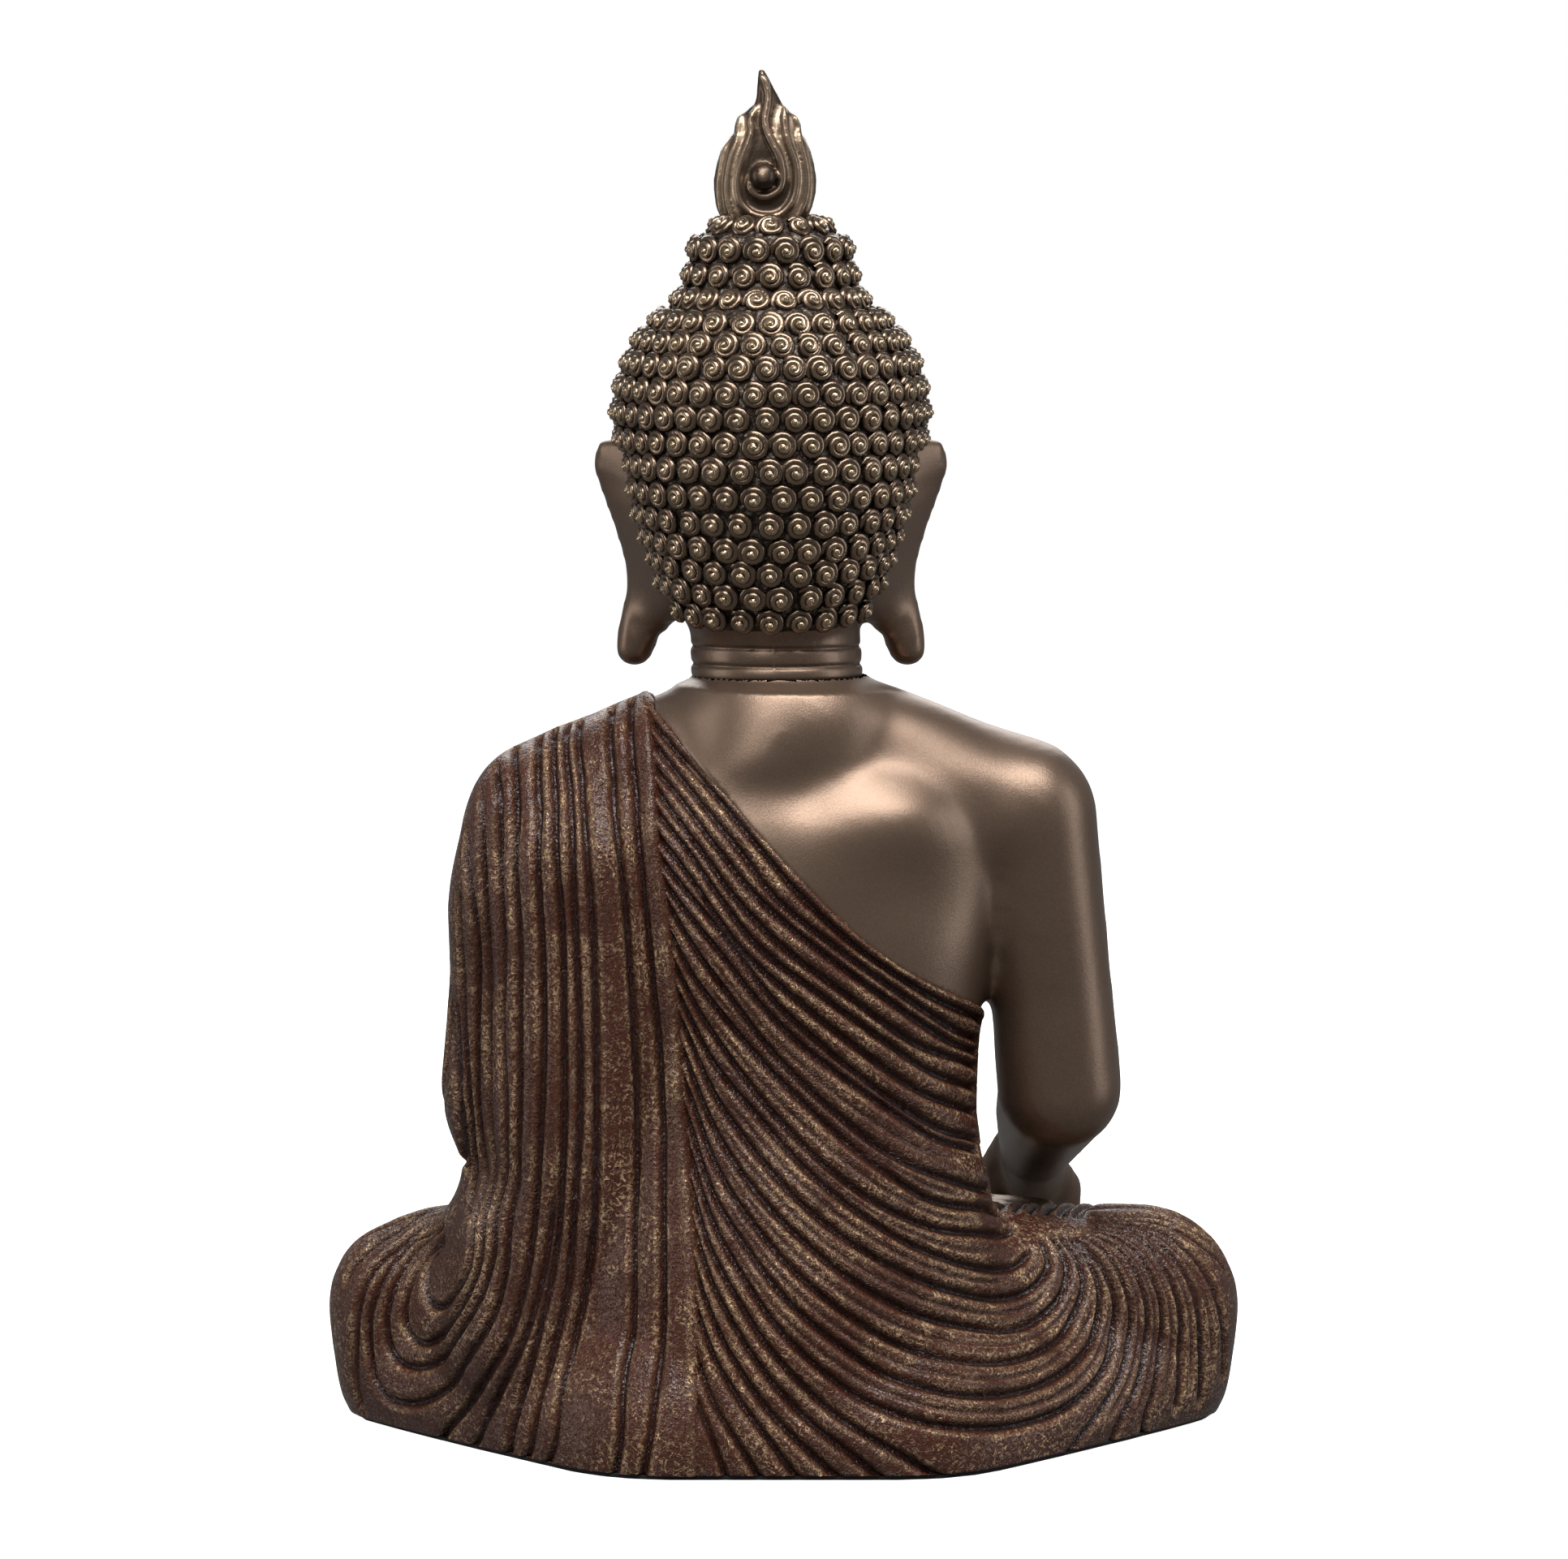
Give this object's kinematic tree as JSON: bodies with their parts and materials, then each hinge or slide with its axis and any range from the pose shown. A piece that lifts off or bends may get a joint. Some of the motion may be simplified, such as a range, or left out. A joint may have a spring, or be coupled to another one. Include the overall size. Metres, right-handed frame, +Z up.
{
  "type": "buddha statue",
  "caption": "Seated Buddha statue, legs crossed, robe pleated over one shoulder, hair in curls under a flame, flat felted base.",
  "frame": {"origin": "middle of the underside of the whole statue, on the surface it stands on", "axes": "+Z up; the statue faces -Y, so its bare right arm is on the -X side and its back is towards +Y"},
  "size_m": [0.1895, 0.1095, 0.28],
  "materials": {
    "robe": "dark red-brown paint, stippled, with gold rubbed over the fold ridges",
    "bronze": "satin dark bronze, fine grained",
    "flame": "dark bronze with gold rubbed over its ridges",
    "board": "bare hardboard",
    "felt": "black felt",
    "steel": "plain steel rod"
  },
  "bodies": {
    "root": {"body_casting": "robe", "head_casting": "bronze", "right_arm_casting": "bronze", "left_hand_casting": "bronze", "flame_finial": "flame", "base_board": "board", "base_felt": "felt", "neck_dowel": "steel", "flame_pin": "steel", "shoulder_dowel": "steel", "wrist_pin": "steel"}
  },
  "joints": []
}
